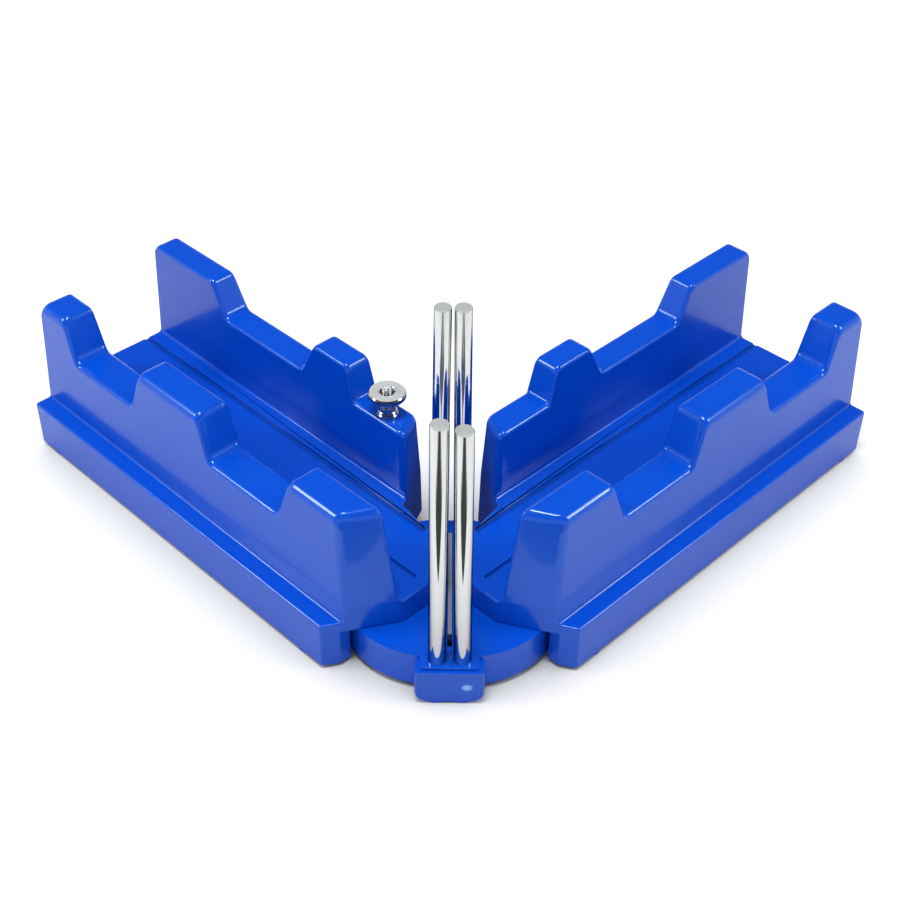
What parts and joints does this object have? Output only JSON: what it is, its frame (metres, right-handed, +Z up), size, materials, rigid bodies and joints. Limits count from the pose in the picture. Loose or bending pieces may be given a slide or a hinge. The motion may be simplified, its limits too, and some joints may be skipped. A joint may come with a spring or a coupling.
{
  "type": "adjustable mitre saw guide",
  "caption": "Adjustable mitre box: two castellated trough wings geared together about a slotted disc, steel pins to guide a hand saw, and a thumb nut that locks the angle.",
  "frame": {"origin": "middle of the object's box in plan, at the bench", "axes": "+X to the right as the saw's user sees it, +Y away from the user along the saw, +Z up"},
  "size_m": [0.4398, 0.254, 0.1526],
  "materials": {
    "wing_plastic": "glossy injection-moulded royal blue",
    "disc_plastic": "glossy injection-moulded royal blue",
    "pin_steel": "polished steel rod, flat ends matt",
    "gear_plastic": "moulded, natural",
    "washer_plastic": "thin slip washer",
    "hardware": "zinc plated",
    "nut_metal": "nickel plated, knurled rim"
  },
  "bodies": {
    "base": {"base_disc": "disc_plastic", "front_left_pin": "pin_steel", "front_right_pin": "pin_steel", "rear_left_pin": "pin_steel", "rear_right_pin": "pin_steel", "left_wear_washer": "washer_plastic", "right_wear_washer": "washer_plastic", "slot_plate": "hardware", "plate_screws": "hardware"},
    "left_arm": {"left_wing": "wing_plastic", "left_gear": "gear_plastic", "left_pivot_washer": "hardware", "left_pivot_screw": "hardware", "lock_bolt": "hardware", "clamp_washer": "hardware", "lock_washer": "hardware"},
    "right_arm": {"right_wing": "wing_plastic", "right_gear": "gear_plastic", "right_pivot_washer": "hardware", "right_pivot_screw": "hardware"},
    "nut": {"thumb_nut": "nut_metal"}
  },
  "joints": [
    {"name": "left_wing_swing", "type": "hinge", "parent": "base", "child": "left_arm", "pos_m": [-0.007, -0.07531, 0], "axis": [0, 0, 1], "range_deg": [-2.5, 45]},
    {"name": "right_wing_swing", "type": "hinge", "parent": "base", "child": "right_arm", "pos_m": [0.007, -0.07531, 0], "axis": [0, 0, 1], "range_deg": [-45, 2.5]},
    {"name": "thumb_nut_turn", "type": "hinge", "parent": "left_arm", "child": "nut", "pos_m": [-0.03062, -0.00757, 0.078], "axis": [0, 0, 1], "continuous": true}
  ],
  "couplings": [
    {"joint": "right_wing_swing", "follows": "left_wing_swing", "ratio": -1}
  ]
}
